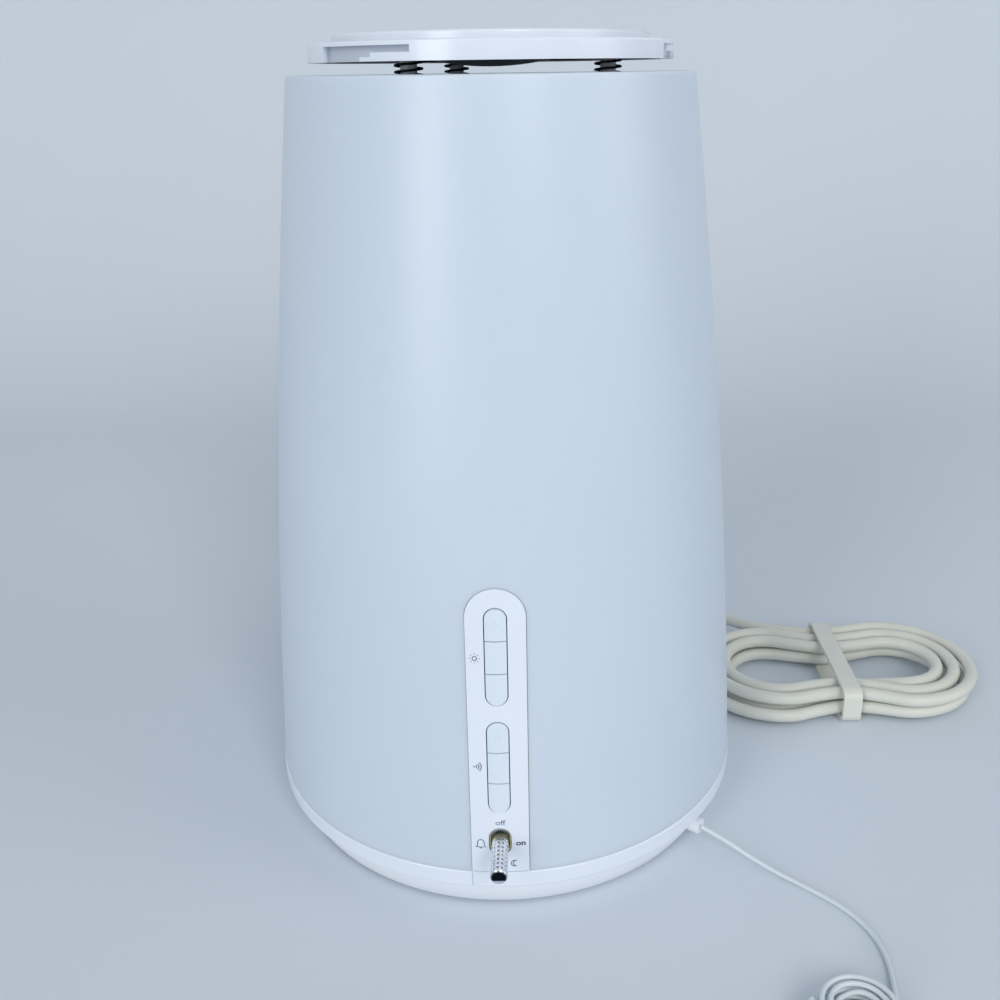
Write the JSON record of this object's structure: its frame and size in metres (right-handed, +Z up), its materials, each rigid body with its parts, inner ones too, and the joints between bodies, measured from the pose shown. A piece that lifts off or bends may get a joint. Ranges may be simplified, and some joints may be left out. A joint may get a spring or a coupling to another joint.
{
  "type": "wake-up light",
  "caption": "Tapered bedside wake-up light: translucent shade, front strip of press keys and a small stick, lid raised on springs, tied mains lead and coiled aerial wire.",
  "frame": {"origin": "on the lamp's axis, on the floor under its feet", "axes": "+Z up, the control strip faces -Y, the hank of the lead lies towards +X"},
  "size_m": [0.2713, 0.3134, 0.2505],
  "materials": {
    "shade_plastic": "translucent satin",
    "white_gloss": "gloss",
    "white_plastic": "matt",
    "inner_plastic": "matt",
    "chrome": "polished",
    "brass": "worn",
    "steel": "plain",
    "spring_steel": "dark",
    "dark_sheet": "matt dark",
    "board": "lacquered",
    "dark_plastic": "matt",
    "bulb_glass": "frosted",
    "aluminium": "plain",
    "magnet": "matt",
    "rubber": "pale grey",
    "cord": "cream, smooth"
  },
  "bodies": {
    "base": {"base_tub": "white_plastic", "bottom_cover": "white_plastic", "rubber_feet": "rubber", "bottom_screws": "steel", "base_ring": "white_gloss", "shade": "shade_plastic", "control_panel": "white_gloss", "key_board": "board", "tact_switches": "dark_plastic", "key_board_screws": "steel", "panel_stand": "inner_plastic", "stand_screws": "steel", "display_module": "dark_plastic", "gimbal_pins": "steel", "lever_bracket": "steel", "lever_bushing": "brass", "lever_board": "board", "inner_housing": "inner_plastic", "housing_screws": "steel", "lamp_holder": "white_plastic", "bulb_cap": "aluminium", "bulb_glass": "bulb_glass", "speaker_frame": "steel", "speaker_cone": "dark_plastic", "speaker_magnet": "magnet", "main_board": "board", "board_pillars": "brass", "transformer": "dark_plastic", "capacitors": "aluminium", "heat_sink": "aluminium", "lid_collar": "inner_plastic", "lid_springs": "spring_steel", "strain_relief": "cord", "mains_cord_run": "cord", "mains_cord_hank": "cord", "mains_cord_end": "cord", "cord_tie": "white_plastic", "plug_body": "cord", "plug_pins": "brass", "aerial_grommet": "cord", "aerial_run": "cord", "aerial_coil": "cord"},
    "gimbal": {"gimbal_ring": "dark_plastic", "lever_pins": "steel"},
    "lever": {"lever": "chrome", "lever_dome": "white_plastic"},
    "press": {"press_ring": "inner_plastic", "spring_posts": "steel"},
    "glide": {"glide_ring": "white_plastic"},
    "lid": {"lid_rim": "white_gloss", "lid_disc": "white_gloss", "lid_shield": "dark_sheet", "lid_screws": "steel"},
    "light_up_key": {"light_up_key": "white_gloss"},
    "light_key": {"light_key": "white_gloss"},
    "light_down_key": {"light_down_key": "white_gloss"},
    "volume_up_key": {"volume_up_key": "white_gloss"},
    "radio_key": {"radio_key": "white_gloss"},
    "volume_down_key": {"volume_down_key": "white_gloss"}
  },
  "joints": [
    {"name": "light_up_press", "type": "slide", "parent": "base", "child": "light_up_key", "axis": [0, 0.9974, -0.0715], "range_m": [0, 0.0008], "stiffness_N_per_m": 900, "springref_m": -0.0004},
    {"name": "light_press", "type": "slide", "parent": "base", "child": "light_key", "axis": [0, 0.9974, -0.0715], "range_m": [0, 0.0008], "stiffness_N_per_m": 900, "springref_m": -0.0004},
    {"name": "light_down_press", "type": "slide", "parent": "base", "child": "light_down_key", "axis": [0, 0.9974, -0.0715], "range_m": [0, 0.0008], "stiffness_N_per_m": 900, "springref_m": -0.0004},
    {"name": "volume_up_press", "type": "slide", "parent": "base", "child": "volume_up_key", "axis": [0, 0.9974, -0.0715], "range_m": [0, 0.0008], "stiffness_N_per_m": 900, "springref_m": -0.0004},
    {"name": "radio_press", "type": "slide", "parent": "base", "child": "radio_key", "axis": [0, 0.9974, -0.0715], "range_m": [0, 0.0008], "stiffness_N_per_m": 900, "springref_m": -0.0004},
    {"name": "volume_down_press", "type": "slide", "parent": "base", "child": "volume_down_key", "axis": [0, 0.9974, -0.0715], "range_m": [0, 0.0008], "stiffness_N_per_m": 900, "springref_m": -0.0004},
    {"name": "stick_tilt", "type": "hinge", "parent": "base", "child": "gimbal", "pos_m": [0, -0.07171, 0.0289], "axis": [1, 0, 0], "range_deg": [-12, 12], "stiffness_Nm_per_rad": 0.12},
    {"name": "stick_pan", "type": "hinge", "parent": "gimbal", "child": "lever", "pos_m": [0, -0.07171, 0.0289], "axis": [0, 0, 1], "range_deg": [-2.5, 2.5], "stiffness_Nm_per_rad": 0.12},
    {"name": "lid_push", "type": "slide", "parent": "base", "child": "press", "axis": [0, 0, -1], "range_m": [0, 0.0105], "stiffness_N_per_m": 300, "springref_m": -0.01, "deforming": ["lid_springs"]},
    {"name": "lid_turn", "type": "hinge", "parent": "press", "child": "glide", "pos_m": [0, 0, 0.245], "axis": [0, 0, -1], "range_deg": [0, 19]},
    {"name": "lid_lift", "type": "slide", "parent": "glide", "child": "lid", "axis": [0, 0, 1], "range_m": [0, 0.045]}
  ]
}
